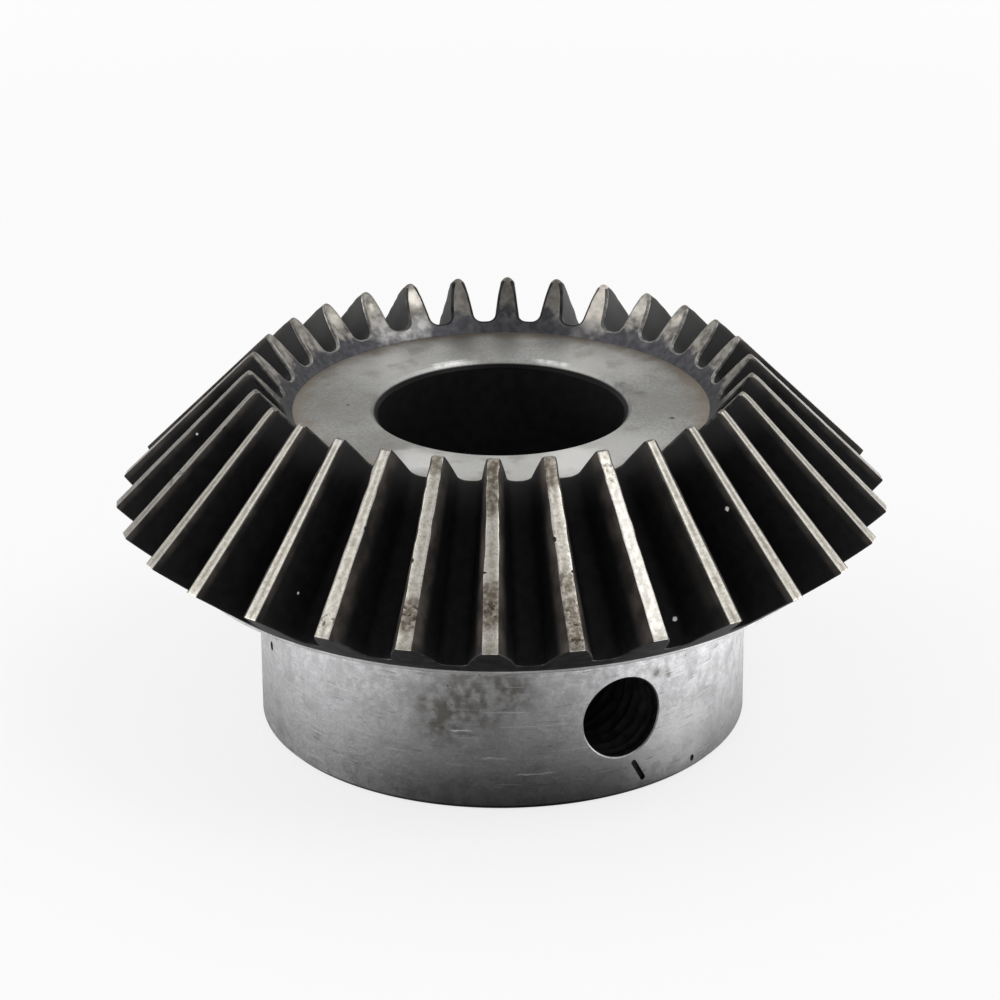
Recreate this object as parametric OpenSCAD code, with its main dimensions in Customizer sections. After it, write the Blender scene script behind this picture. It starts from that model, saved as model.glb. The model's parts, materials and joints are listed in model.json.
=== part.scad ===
// Straight bevel gear with a stepped hub, a plain bore and one tapped set-screw hole.
// Frame: +Z is the gear axis, pointing from the hub to the teeth.
// Origin: on the axis, in the flat face at the end of the hub. Millimetres and degrees.

/* [Teeth] */
// Number of teeth
tooth_count = 30; // [24:1:40]
// Module at the heel, the outer end of the teeth
tooth_module = 2; // [1.75:0.05:2.5]
// Half angle of the pitch cone
pitch_angle = 45; // [42:0.5:48]
// Slope of the flanks at the heel
pressure_angle = 20; // [16:0.5:22]
// Slope of the flanks at the toe, where the milled spaces are steeper
toe_flank_angle = 10.5; // [8:0.5:14]
// Gap between a tooth tip and the root of the mating gear
root_clearance = 0.5; // [0.3:0.05:0.7]
// Radius in the corners of each tooth space
root_radius = 0.75; // [0.4:0.05:0.85]
// Extra width of each tooth space, for backlash
space_allowance = 0.33; // [0.1:0.01:0.5]
// Tooth length along the tip cone
face_width = 15.9; // [12:0.1:17]
// Angle between the pitch cone and the steeper tip cone
tip_lean = 0.5; // [-1:0.1:1.5]
// Angle between the pitch cone and the root cone
root_lean = 2.4; // [1:0.1:3.5]

/* [Heel face] */
// Slope of the heel face below the horizontal
heel_face_angle = 37.5; // [33:0.5:45]
// Slanted width of the heel face, from the tooth tips to the back rim
heel_face_width = 6.1; // [5.2:0.1:6.8]
// Height of the narrow upright land around the back rim
rim_land = 0.25; // [0.1:0.05:1]

/* [Dish] */
// Slope of the toe face, which dishes in from the tooth tips
dish_angle = 49; // [45:0.5:58]
// Depth of the flat front face below the toe tips
dish_depth = 3.85; // [3.4:0.05:4.4]

/* [Hub] */
// Diameter of the hub
hub_diameter = 40; // [36:0.5:46]
// Length of the hub, from its end to the back of the gear
hub_length = 15; // [12:0.1:25]
// Chamfer on the edge at the end of the hub
hub_chamfer = 0.4; // [0.2:0.05:1]

/* [Bore] */
// Diameter of the shaft bore
bore_diameter = 20; // [12:0.5:24]
// Chamfer at both mouths of the bore
bore_chamfer = 0.6; // [0.2:0.05:1]

/* [Set-screw hole] */
// Diameter of the tapped hole at its thread crests
screw_hole_diameter = 6.8; // [4:0.1:8]
// Height of the hole's axis above the end of the hub
screw_hole_height = 6.9; // [5:0.1:7.5]

/* [Hidden] */
$fn = 96;

// Points along each root corner and each flank of a tooth space
corner_steps = 4;
flank_steps = 4;
// Reach of the cutters past the surfaces that they cut
overcut = 2;

hub_radius = hub_diameter / 2;
bore_radius = bore_diameter / 2;

// Pitch cone and tooth heights at the heel
pitch_radius = tooth_count * tooth_module / 2;
heel_distance = pitch_radius / sin(pitch_angle);
addendum = tooth_module;
dedendum = addendum + root_clearance;

// Section of the blank, from the hub up to the toe
tip_radius = pitch_radius + addendum * cos(pitch_angle);
rim_radius = tip_radius - heel_face_width * cos(heel_face_angle);
heel_height = hub_length + rim_land + heel_face_width * sin(heel_face_angle);
tip_angle = pitch_angle - tip_lean;
toe_radius = tip_radius - face_width * sin(tip_angle);
toe_height = heel_height + face_width * cos(tip_angle);
front_height = toe_height - dish_depth;
front_radius = toe_radius - dish_depth / tan(dish_angle);

// Apex of the pitch cone, and the toe's distance from it along that cone
apex_height = heel_height + heel_distance * cos(pitch_angle) - addendum * sin(pitch_angle);
toe_distance = toe_radius * sin(pitch_angle) + (apex_height - toe_height) * cos(pitch_angle);

// How far along the tooth a section lies: 0 at the toe, 1 at the heel
function along(distance) = (distance - toe_distance) / (heel_distance - toe_distance);

// Heights of the tip and the root above the pitch cone, at a distance from the apex
function tip_rise(distance) = addendum + (heel_distance - distance) * tan(tip_lean);
function root_rise(distance) = (heel_distance - distance) * tan(root_lean) - dedendum;

// Half width of a tooth space on the pitch cone, and its slope and curve above and below it.
// At the heel the curve is that of an involute on the back cone; at the toe the flank is straight.
heel_roll_radius = heel_distance * tan(pitch_angle) * sin(pressure_angle);
heel_curve = 1 / (2 * heel_roll_radius * pow(cos(pressure_angle), 3));
function half_space(distance) =
    (PI * tooth_module / 2 * distance / heel_distance + space_allowance) / 2;
function flank_slope(distance) =
    tan(toe_flank_angle) + (tan(pressure_angle) - tan(toe_flank_angle)) * along(distance);
function flank_curve(distance) = heel_curve * max(0, along(distance));
function flank_x(distance, rise) =
    half_space(distance) + flank_slope(distance) * rise + flank_curve(distance) * rise * rise;
function flank_angle(distance, rise) =
    atan(flank_slope(distance) + 2 * flank_curve(distance) * rise);

// One half of a tooth space's outline: the rounded root corner, then the flank, up past the tip
function half_outline(distance) =
    let (
        root = root_rise(distance),
        corner = root + root_radius,
        lean = flank_angle(distance, corner),
        floor_x = flank_x(distance, corner) - root_radius / cos(lean),
        flank_start = corner + root_radius * sin(lean),
        top = tip_rise(distance) + overcut
    )
    concat(
        [for (i = [0:corner_steps - 1])
            let (turn = (90 - lean) * i / corner_steps)
            [floor_x + root_radius * sin(turn), corner - root_radius * cos(turn)]],
        [for (i = [0:flank_steps])
            let (rise = flank_start + (top - flank_start) * i / flank_steps)
            [flank_x(distance, rise), rise]]
    );

// A point at a distance from the apex, a rise above the pitch cone and a width along its circle
function space_point(distance, rise, x) =
    let (
        radius = distance * sin(pitch_angle) + rise * cos(pitch_angle),
        height = apex_height - distance * cos(pitch_angle) + rise * sin(pitch_angle),
        turn = x / radius * 180 / PI
    )
    [radius * cos(turn), radius * sin(turn), height];

// One section of a tooth space: the left and right points of each rung, from the root up
function space_section(distance) =
    [for (p = half_outline(distance), side = [-1, 1]) space_point(distance, p[1], side * p[0])];

// Solid that fills one tooth space, lying over the +X axis
module tooth_space() {
    inner = space_section(toe_distance - overcut);
    outer = space_section(heel_distance + overcut);
    count = len(inner);
    rungs = count / 2;
    toe_end = [for (i = [0:rungs - 2], half = [0, 1])
        let (a = 2 * i)
        half == 0 ? [a, a + 1, a + 3] : [a, a + 3, a + 2]];
    heel_end = [for (f = toe_end) [f[2] + count, f[1] + count, f[0] + count]];
    right_side = [for (i = [0:rungs - 2], half = [0, 1])
        let (a = 2 * i + 1, b = a + count)
        half == 0 ? [a, b, b + 2] : [a, b + 2, a + 2]];
    left_side = [for (i = [0:rungs - 2], half = [0, 1])
        let (a = 2 * i, b = a + count)
        half == 0 ? [a, b + 2, b] : [a, a + 2, b + 2]];
    floor_side = [[0, count, count + 1], [0, count + 1, 1]];
    open_side = [[count - 2, count - 1, 2 * count - 1], [count - 2, 2 * count - 1, 2 * count - 2]];
    polyhedron(
        points = concat(inner, outer),
        faces = concat(toe_end, heel_end, right_side, left_side, floor_side, open_side)
    );
}

// All the tooth spaces, with one of them over the set-screw hole on the -Y side
module tooth_spaces() {
    for (i = [0:tooth_count - 1]) {
        rotate([0, 0, i * 360 / tooth_count - 90]) tooth_space();
    }
}

// Turned blank, before its teeth and holes are cut
module blank() {
    rotate_extrude() polygon([
        [0, 0],
        [hub_radius - hub_chamfer, 0],
        [hub_radius, hub_chamfer],
        [hub_radius, hub_length],
        [rim_radius, hub_length],
        [rim_radius, hub_length + rim_land],
        [tip_radius, heel_height],
        [toe_radius, toe_height],
        [front_radius, front_height],
        [0, front_height]
    ]);
}

// Shaft bore, chamfered at both mouths
module bore_cut() {
    mouth_radius = bore_radius + bore_chamfer;
    rotate_extrude() polygon([
        [0, -overcut],
        [mouth_radius, -overcut],
        [mouth_radius, 0],
        [bore_radius, bore_chamfer],
        [bore_radius, front_height - bore_chamfer],
        [mouth_radius, front_height],
        [mouth_radius, front_height + overcut],
        [0, front_height + overcut]
    ]);
}

// Tapped hole through one wall of the hub, from the bore out to the -Y side
module screw_hole_cut() {
    translate([0, 0, screw_hole_height])
        rotate([90, 0, 0])
            cylinder(d = screw_hole_diameter, h = hub_radius + overcut);
}

// The gear, one solid turned, milled and drilled from steel
module bevel_gear() {
    color([0.36, 0.36, 0.37])
        difference() {
            blank();
            tooth_spaces();
            bore_cut();
            screw_hole_cut();
        }
}

bevel_gear();
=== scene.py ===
"""Straight bevel gear of turned and milled steel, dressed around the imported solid."""

import json
import math

import bmesh
import bpy
import numpy as np
from mathutils import Matrix, Vector


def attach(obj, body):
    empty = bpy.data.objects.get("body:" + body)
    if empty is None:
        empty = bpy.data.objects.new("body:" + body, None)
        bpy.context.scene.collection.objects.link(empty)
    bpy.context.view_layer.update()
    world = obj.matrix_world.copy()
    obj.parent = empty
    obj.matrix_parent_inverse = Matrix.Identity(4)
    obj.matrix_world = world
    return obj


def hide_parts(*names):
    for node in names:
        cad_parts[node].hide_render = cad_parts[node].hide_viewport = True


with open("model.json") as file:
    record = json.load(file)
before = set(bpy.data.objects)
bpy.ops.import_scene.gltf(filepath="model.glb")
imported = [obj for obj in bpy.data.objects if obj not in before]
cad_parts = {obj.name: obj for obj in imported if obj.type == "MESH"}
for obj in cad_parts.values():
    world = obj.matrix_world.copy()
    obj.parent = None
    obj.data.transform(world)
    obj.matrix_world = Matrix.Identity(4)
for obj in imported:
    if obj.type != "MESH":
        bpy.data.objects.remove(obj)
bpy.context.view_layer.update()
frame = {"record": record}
mounts = {mount["name"]: mount for mount in frame["record"]["mounts"]}

# Sizes of the gear in millimetres, and its angles in radians
MM = 0.001
TOOTH_COUNT = 30
TOOTH_MODULE = 2.0
PITCH_ANGLE = math.radians(45)
PRESSURE_ANGLE = math.radians(20)
TOE_FLANK_ANGLE = math.radians(10.5)
ROOT_CLEARANCE = 0.5
ROOT_RADIUS = 0.75
SPACE_ALLOWANCE = 0.33
FACE_WIDTH = 15.9
TIP_LEAN = math.radians(0.5)
ROOT_LEAN = math.radians(2.4)
HEEL_FACE_ANGLE = math.radians(37.5)
HEEL_FACE_WIDTH = 6.1
RIM_LAND = 0.25
DISH_ANGLE = math.radians(49)
DISH_DEPTH = 3.85
HUB_RADIUS = 20.0
HUB_LENGTH = 15.0
HUB_CHAMFER = 0.4
BORE_RADIUS = mounts["bore"]["dims"]["r_mm"]
BORE_CHAMFER = 0.6
HOLE_RADIUS = mounts["set_screw_hole"]["dims"]["r_mm"]
HOLE_HEIGHT = mounts["set_screw_hole"]["pos_m"][2] / MM

# Broken edges: along the tooth lands, around the tooth ends, and on the turned corners.
# At the toe the tips are worn round, over a short length of the tooth: little on the teeth
# around the front tooth, more towards the back. Teeth are counted from the set-screw hole.
TOE_LAND_EDGE = 0.26
HEEL_LAND_EDGE = 0.17
LAND_WOBBLE = 0.035
TOE_END_EDGE = 0.22
HEEL_END_EDGE = 0.09
TOE_HALF_LAND = 0.45
HEEL_HALF_LAND = 0.64
WORN_TIP_LENGTH = 1.1
WORN_FLANK_STEPS = 3
WORN_POWER = 2.5
FRONT_TOOTH = -3
FRONT_WEAR = 0.15
FRESH_TEETH = 3
WORN_TEETH = 8
TURNED_EDGE = 0.08
HUB_FILLET = 0.3
MOUTH_EDGE = 0.1

# Thread of the set-screw hole
THREAD_PITCH = 1.25
THREAD_DEPTH = 0.6
THREAD_LEAD_IN = 0.6
THREAD_CREST = 0.125

# Steps of the mesh across one half of a tooth space, and along the gear
FLOOR_STEPS = 2
CORNER_STEPS = 5
FLANK_STEPS = 7
EDGE_STEPS = 4
LAND_STEPS = 3
TOOTH_ROWS = 30
WOBBLE_KNOTS = 16
FACE_ROWS = 2
END_STEPS = 3
ROUND_STEPS = 2
HOLE_SIDES = 64
HOLE_ROWS = 72
DENT_SIDES = 12
OVERCUT = 2.0
HALVINGS = 40

# How the tooth rows crowd towards the toe, how the land edges' waves fade out, and how normals are set
TOE_CROWDING = 0.45
WOBBLE_SEED = 11
FLANK_FADE = [0.3, 0.6]
LAND_FADE = [1.0, 0.66, 0.33]
FADE_ROWS = 3
SURFACE_REACH = 0.001
SHARP_ANGLE = math.radians(40)

# Section of the blank, worked out from the sizes above
PITCH_RADIUS = TOOTH_COUNT * TOOTH_MODULE / 2
HEEL_DISTANCE = PITCH_RADIUS / math.sin(PITCH_ANGLE)
ADDENDUM = TOOTH_MODULE
DEDENDUM = ADDENDUM + ROOT_CLEARANCE
TIP_RADIUS = PITCH_RADIUS + ADDENDUM * math.cos(PITCH_ANGLE)
RIM_RADIUS = TIP_RADIUS - HEEL_FACE_WIDTH * math.cos(HEEL_FACE_ANGLE)
RIM_HEIGHT = HUB_LENGTH + RIM_LAND
HEEL_HEIGHT = RIM_HEIGHT + HEEL_FACE_WIDTH * math.sin(HEEL_FACE_ANGLE)
TIP_ANGLE = PITCH_ANGLE - TIP_LEAN
TOE_RADIUS = TIP_RADIUS - FACE_WIDTH * math.sin(TIP_ANGLE)
TOE_HEIGHT = HEEL_HEIGHT + FACE_WIDTH * math.cos(TIP_ANGLE)
FRONT_HEIGHT = TOE_HEIGHT - DISH_DEPTH
FRONT_RADIUS = TOE_RADIUS - DISH_DEPTH / math.tan(DISH_ANGLE)
APEX_HEIGHT = HEEL_HEIGHT + HEEL_DISTANCE * math.cos(PITCH_ANGLE) - ADDENDUM * math.sin(PITCH_ANGLE)
TOE_DISTANCE = TOE_RADIUS * math.sin(PITCH_ANGLE) + (APEX_HEIGHT - TOE_HEIGHT) * math.cos(PITCH_ANGLE)
HALF_PITCH = math.pi / TOOTH_COUNT
LAND_START = FLOOR_STEPS + CORNER_STEPS + FLANK_STEPS + EDGE_STEPS
HOLE_DIRECTION = -math.pi / 2

# Materials of the gear's surfaces, in the order of its material slots
SURFACES = ["hub", "flank", "land", "heel", "toe", "edge", "front", "bore", "hole"]

# Marks of use, painted light and painted highlights, with their sizes: on the hub at (degrees from the hole,
# height), on the front face at (degrees from the hole, radius), on the lands at (tooth, share from the toe
# to the heel), on the toe ends at a tooth, and on the flanks and in the dish at a point
HUB_PITS = [((21.1, 1.06), 0.3), ((-97.7, 8.4), 0.4)]
HUB_STAINS = [
    ((-36, 9.6), 2.8), ((-42, 8.2), 2.2), ((-28, 10.4), 2), ((75, 6), 2.5), ((140, 9), 2.6),
    ((-150, 4), 2.4), ((9.2, 10), 0.4), ((12.6, 9.5), 0.3),
]
# A pale patch of painted light low on the hub, right of the hole
HUB_PAINTED_LIGHT = [((13.5, 2.4), 3.4)]
HUB_SCRATCHES = [((-21, 3.14), 1.5), ((-38, 6.9), 0.8), ((-30, 4.6), 1), ((64, 5.2), 1.6)]
FLANK_CHIPS = [
    ((0.78, -26.43, 17.89), 0.17), ((6.91, -23.82, 24.8), 0.17), ((-22.79, 9.37, 25.18), 0.09),
    ((21.4, 14.2, 22.3), 0.12), ((-24.36, -12.29, 20.02), 0.1),
]
DULL_PATCHES = [((-118, 13.5), 4.2), ((-75, 13.5), 3.4), ((62, 13), 3.6), ((160, 14.5), 3)]
CLEAN_PATCHES = [
    ((-26, 13.5), 4.4), ((10, 13.5), 4.6), ((-165, 13), 4), ((112, 13), 3.6), ((-42, 14), 2.6),
    ((-8, 14), 2.8),
]
# Painted highlights on the front face near the front teeth
FACE_HIGHLIGHTS = [((-3, 13), 2.6), ((-58, 13.2), 2.2)]
FACE_SMUDGES = [((80.9, 10.9), 0.8), ((74, 11.4), 0.7), ((87, 10.8), 0.6)]
FACE_SPOTS = [((49.8, 14), 0.26), ((-120, 12.4), 0.16)]
# Painted highlights in the dish at the back
DISH_HIGHLIGHTS = [
    ((14.23, 10.48, 27.33), 0.5), ((0.19, 17.59, 27.22), 1), ((-1.56, 17.68, 27.42), 1.1),
    ((1.71, 17.57, 27.31), 0.9),
]
# Painted highlights on the toe ends of a few teeth
TOE_HIGHLIGHTS = [(10, 2.5), (9, 0.8), (8, 0.5), (-16, 0.75), (-15, 0.3), (-14, 0.65)]
LAND_STAINS = [
    ((-3, 0.02), 1.4), ((-3, 0.12), 1.4), ((-3, 0.22), 1.3), ((-3, 0.7), 1), ((-3, 0.8), 1.3),
    ((-2, 0.02), 1.2), ((-2, 0.1), 1.2), ((-2, 0.66), 0.9), ((-2, 0.8), 1.2), ((-2, 0.92), 1.1),
    ((-4, 0.03), 1), ((-4, 0.82), 1.3), ((5, 0.7), 1), ((9, 0.3), 1.1), ((13, 0.55), 1.2),
    ((-11, 0.2), 1),
]
LAND_PITS = [
    ((-3, 0.8), 1.1), ((-4, 0.82), 1.1), ((-2, 0.84), 0.9), ((-2, 0.95), 0.9), ((-1, 0.13), 0.8),
    ((-5, 0.9), 0.6), ((6, 0.45), 0.8), ((11, 0.75), 1), ((-9, 0.6), 0.8), ((-13, 0.35), 0.9),
]
# Painted highlights: a sheen along the land of tooth -1 and a glint at the toe of tooth -6
LAND_HIGHLIGHTS = [((-6, 0.02), 0.5), ((-1, 0.32), 2), ((-1, 0.52), 2.3), ((-1, 0.72), 2.3), ((-1, 0.92), 2)]

# Dents: nicks in the edges of the lands at (tooth, share, side of the land) with their length, width and
# depth, a short groove in the hub below the hole with its ends, width and depth, and the pits' proportions
LAND_NICKS = [
    ((-4, 0.55, -1), (0.4, 0.3, 0.22)), ((-2, 0.43, -1), (0.45, 0.34, 0.25)),
    ((-2, 0.6, 1), (0.22, 0.4, 0.15)), ((-5, 0.42, 1), (0.35, 0.25, 0.18)),
    ((-3, 0.59, -1), (0.18, 0.4, 0.12)), ((3, 0.75, 1), (0.35, 0.25, 0.18)),
    ((8, 0.3, -1), (0.4, 0.3, 0.2)), ((12, 0.65, 1), (0.5, 0.3, 0.22)),
    ((-9, 0.25, 1), (0.4, 0.3, 0.2)), ((-12, 0.8, -1), (0.35, 0.3, 0.2)),
]
HUB_GROOVE = ((2.6, 2.9), (5.7, 1.0), 0.46, 0.2)
GROOVE_ROUNDING = 0.08
PIT_SHAPE = (2.0, 1.6, 0.5)

# Radii between which the dish darkens, a toe's middle inward from its tip, and the direction, in degrees
# to the right of the camera, from which painted shade darkens the lands to both sides
DARK_DISH = (18.6, 17.8)
TOE_MIDDLE = 1.0
SHADE_AZIMUTH = 8

# Light of the room: on plain surfaces, and in reflections at the sides and on the camera's side. Then the
# floor's reach in metres and its shades, with distances in millimetres, and the lamps' azimuth and elevation
# in degrees, distance and size in metres, and power in watts
ROOM_LIGHT = 0.75
ROOM_SIDES = 0.74
ROOM_FRONT = 0.04
DARK_AZIMUTH = 6
DARK_ROOM = 0.75
FLOOR_REACH = 3.0
FLOOR_COLOUR = 0.88
FLOOR_FRONT = 0.03
DARK_FLOOR = 54
BRIGHT_FLOOR = (12, 50)
RIGHT_GLOW = 1.4
LEFT_GLOW = 0.5
FLOOR_LIFT = 0.75
WHITE_FLOOR = (90, 320)
SOFTBOXES = {
    "key": (60, 56, 0.6, 0.26, 0.5),
    "fill": (-64, 48, 0.6, 0.26, 0.17),
    "right": (94, 2, 0.5, 0.3, 0.85),
    "left": (-84, 2, 0.5, 0.3, 1.5),
    "front": (8, 2, 0.5, 0.4, 0.15),
}

# Place of the camera that sees the gear as the photograph does
CAMERA_AZIMUTH = math.radians(-28.27)
CAMERA_ELEVATION = math.radians(22.98)
CAMERA_ROLL = -0.0062
CAMERA_DISTANCE = 326.6
CAMERA_LENS = 143.67
CAMERA_AIM = (-0.135, HEEL_HEIGHT - 0.8)
SENSOR_WIDTH = 36
CLIP_START = 0.01


# Outline of the tooth spaces

def along(distance):
    """How far along the tooth a section lies: 0 at the toe, 1 at the heel."""
    return (distance - TOE_DISTANCE) / (HEEL_DISTANCE - TOE_DISTANCE)


def flank_shape(distance):
    """Half width of a tooth space on the pitch cone, and the slope and curve of its flanks."""
    share = along(distance)
    half_width = (math.pi * TOOTH_MODULE / 2 * distance / HEEL_DISTANCE + SPACE_ALLOWANCE) / 2
    toe_slope = math.tan(TOE_FLANK_ANGLE)
    slope = toe_slope + (math.tan(PRESSURE_ANGLE) - toe_slope) * share
    roll_radius = HEEL_DISTANCE * math.tan(PITCH_ANGLE) * math.sin(PRESSURE_ANGLE)
    curve = max(0, share) / (2 * roll_radius * math.cos(PRESSURE_ANGLE) ** 3)
    return half_width, slope, curve


def section(distance):
    """Turn, radius and height of an outline's points, from the middle of a space to that of a tooth."""
    half_width, slope, curve = flank_shape(distance)

    def flank_x(rise):
        return half_width + slope * rise + curve * rise * rise

    def flank_lean(rise):
        return math.atan(slope + 2 * curve * rise)

    tip = ADDENDUM + (HEEL_DISTANCE - distance) * math.tan(TIP_LEAN)
    root = (HEEL_DISTANCE - distance) * math.tan(ROOT_LEAN) - DEDENDUM
    corner = root + ROOT_RADIUS
    lean = flank_lean(corner)
    floor_x = flank_x(corner) - ROOT_RADIUS / math.cos(lean)
    edge = TOE_LAND_EDGE + (HEEL_LAND_EDGE - TOE_LAND_EDGE) * along(distance)
    tip_lean = flank_lean(tip - edge)
    flank_top = tip - edge + edge * math.sin(tip_lean)
    edge_x = flank_x(flank_top) + edge * math.cos(tip_lean)

    corner_turns = np.linspace(0, math.pi / 2 - lean, CORNER_STEPS, endpoint=False)
    flank_rises = np.linspace(corner - ROOT_RADIUS * math.sin(lean), flank_top, FLANK_STEPS, endpoint=False)
    edge_turns = np.linspace(tip_lean, math.pi / 2, EDGE_STEPS, endpoint=False)
    x = np.concatenate([
        np.linspace(0, floor_x, FLOOR_STEPS, endpoint=False),
        floor_x + ROOT_RADIUS * np.sin(corner_turns),
        flank_x(flank_rises),
        edge_x - edge * np.cos(edge_turns),
    ])
    rise = np.concatenate([
        np.full(FLOOR_STEPS, root),
        corner - ROOT_RADIUS * np.cos(corner_turns),
        flank_rises,
        tip - edge + edge * np.sin(edge_turns),
        np.full(LAND_STEPS + 1, tip),
    ])
    radius = distance * math.sin(PITCH_ANGLE) + rise * math.cos(PITCH_ANGLE)
    height = APEX_HEIGHT - distance * math.cos(PITCH_ANGLE) + rise * math.sin(PITCH_ANGLE)
    land_turns = np.linspace(edge_x / radius[-1], HALF_PITCH, LAND_STEPS + 1)
    turn = np.append(x / radius[:len(x)], land_turns)
    return np.stack([turn, radius, height], axis=-1)


def sector(distance):
    """The outline of one pitch, from the middle of a tooth across a space to just short of the next."""
    half = section(distance)
    return np.concatenate([half[:0:-1] * (-1, 1, 1), half[:-1]])


def cartesian(polar):
    turn, radius, height = np.moveaxis(polar, -1, 0)
    return np.stack([radius * np.cos(turn), radius * np.sin(turn), height], axis=-1)


def polar_of(points):
    x, y, z = np.moveaxis(points, -1, 0)
    return np.stack([np.arctan2(y, x), np.hypot(x, y), z], axis=-1)


def unit(vector):
    return vector / np.linalg.norm(vector)


# Faces at the two ends of the teeth, as heights of their cones at a radius

def toe_cone(radius):
    return TOE_HEIGHT - (TOE_RADIUS - radius) * math.tan(DISH_ANGLE)


def heel_cone(radius):
    return HEEL_HEIGHT - (TIP_RADIUS - radius) * math.tan(HEEL_FACE_ANGLE)


def meeting_shares(start, end, cone):
    """How far along each line from start to end it meets a cone."""
    low, high = np.zeros(len(start)), np.ones(len(start))

    def above(share):
        point = start + (end - start) * share[:, None]
        return point[:, 2] > cone(np.hypot(point[:, 0], point[:, 1]))

    first = above(low)
    for _ in range(HALVINGS):
        middle = (low + high) / 2
        before = above(middle) == first
        low = np.where(before, middle, low)
        high = np.where(before, high, middle)
    return low


def inset(outline, cone, slope, size):
    """The outline of one pitch moved into the metal, within the cone that it lies on."""
    pitch = (2 * HALF_PITCH, 0, 0)
    longer = np.concatenate([outline[-1:] - pitch, outline, outline[:1] + pitch])
    steps = longer[2:] - longer[:-2]
    radius = outline[:, 1]
    across = radius * steps[:, 0]
    outward = steps[:, 1] / math.cos(slope)
    length = np.hypot(across, outward)
    moved = outline.copy()
    moved[:, 0] += size * outward / length / radius
    moved[:, 1] -= size * across / length * math.cos(slope)
    moved[:, 2] = cone(moved[:, 1])
    return moved


def end_rows(edge_points, face_points, skin_points):
    """Rows that round the edge between an end face and the skin of the teeth, from the face to the skin."""
    rows = []
    for step in range(END_STEPS + 1):
        turn = math.pi / 2 * step / END_STEPS
        to_face = (1 - math.sin(turn)) * (face_points - edge_points)
        to_skin = (1 - math.cos(turn)) * (skin_points - edge_points)
        rows.append(polar_of(edge_points + to_face + to_skin))
    return rows


def face_rows(circle_radius, outline, cone):
    """Rows on an end face from a circle to just short of the outline of the teeth."""
    rows = []
    for step in range(FACE_ROWS):
        row = outline.copy()
        row[:, 1] = circle_radius + (outline[:, 1] - circle_radius) * step / FACE_ROWS
        row[:, 2] = cone(row[:, 1])
        rows.append(row)
    return rows


# Turned part of the section, from the heel face down the hub, through the bore and back to the dish

def turned_profile(start, corners, end):
    """Points of a turned section with rounded corners, and the surface that follows each point."""
    points, surfaces = [], []
    places = np.array([start] + [corner[:2] for corner in corners] + [end])
    for before, here, after, corner in zip(places, places[1:], places[2:], corners):
        rounding, surface = corner[2:]
        back, ahead = unit(before - here), unit(after - here)
        half_angle = math.acos(np.clip(back @ ahead, -1, 1)) / 2
        reach = rounding / math.tan(half_angle)
        middle = here + unit(back + ahead) * rounding / math.sin(half_angle)
        first = here + back * reach - middle
        last = here + ahead * reach - middle
        for share in np.linspace(0, 1, ROUND_STEPS + 1):
            points.append(middle + unit(first * (1 - share) + last * share) * rounding)
            surfaces.append(surface)
    return points, surfaces


def turned_rows(turns):
    """Rows of the turned surfaces, with the surface that follows each row."""
    mouth_radius = BORE_RADIUS + BORE_CHAMFER
    rim_start = (RIM_RADIUS + TURNED_EDGE, heel_cone(RIM_RADIUS + TURNED_EDGE))
    dish_end = (FRONT_RADIUS + TURNED_EDGE, toe_cone(FRONT_RADIUS + TURNED_EDGE))
    corners = [
        (RIM_RADIUS, RIM_HEIGHT, TURNED_EDGE / 2, "land"),
        (RIM_RADIUS, HUB_LENGTH, TURNED_EDGE, "hub"),
        (HUB_RADIUS, HUB_LENGTH, HUB_FILLET, "hub"),
        (HUB_RADIUS, HUB_CHAMFER, TURNED_EDGE, "hub"),
        (HUB_RADIUS - HUB_CHAMFER, 0, TURNED_EDGE, "hub"),
        (mouth_radius, 0, TURNED_EDGE, "hub"),
        (BORE_RADIUS, BORE_CHAMFER, TURNED_EDGE, "bore"),
        (BORE_RADIUS, FRONT_HEIGHT - BORE_CHAMFER, TURNED_EDGE, "front"),
        (mouth_radius, FRONT_HEIGHT, TURNED_EDGE, "front"),
        (FRONT_RADIUS, FRONT_HEIGHT, TURNED_EDGE, "toe"),
    ]
    points, surfaces = turned_profile(rim_start, corners, dish_end)
    return [np.stack(np.broadcast_arrays(turns, *point), axis=-1) for point in points], surfaces


# The gear's mesh

def wear_share(tooth):
    """How far a tooth's toe is worn, from 0 to 1."""
    from_front = (tooth - FRONT_TOOTH + TOOTH_COUNT // 2) % TOOTH_COUNT - TOOTH_COUNT // 2
    return np.interp(abs(from_front), [FRESH_TEETH, WORN_TEETH], [FRONT_WEAR, 1])


def worn_drop(outline):
    """How far wear lowers each point of a section at the toe: most beside the tip, none at its middle."""
    aside = np.abs(HALF_PITCH - np.abs(outline[:, 0])) * outline[:, 1]
    half = len(outline) // 2
    start = half + LAND_START - EDGE_STEPS - WORN_FLANK_STEPS
    share = aside / aside[start]
    fallen = (np.max(outline[:, 2]) - outline[:, 2]) / math.sin(DISH_ANGLE)
    return np.where(share < 1, np.maximum(0, fallen[start] * share ** WORN_POWER - fallen), 0)


def lowered(outline, drop, slope):
    """The outline with each point moved in and down a slope by its drop."""
    moved = outline.copy()
    moved[:, 1] -= drop * math.cos(slope)
    moved[:, 2] -= drop * math.sin(slope)
    return moved


def worn_tip(outline, wear):
    """A section of the teeth with the wear that fades away from the toe."""
    tip = np.argmax(outline[:, 2])
    from_toe = (TOE_HEIGHT - outline[tip, 2]) / math.cos(TIP_ANGLE)
    drop = worn_drop(outline) * wear * max(0, 1 - from_toe / WORN_TIP_LENGTH) ** 2
    return lowered(outline, drop, TIP_ANGLE)


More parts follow.
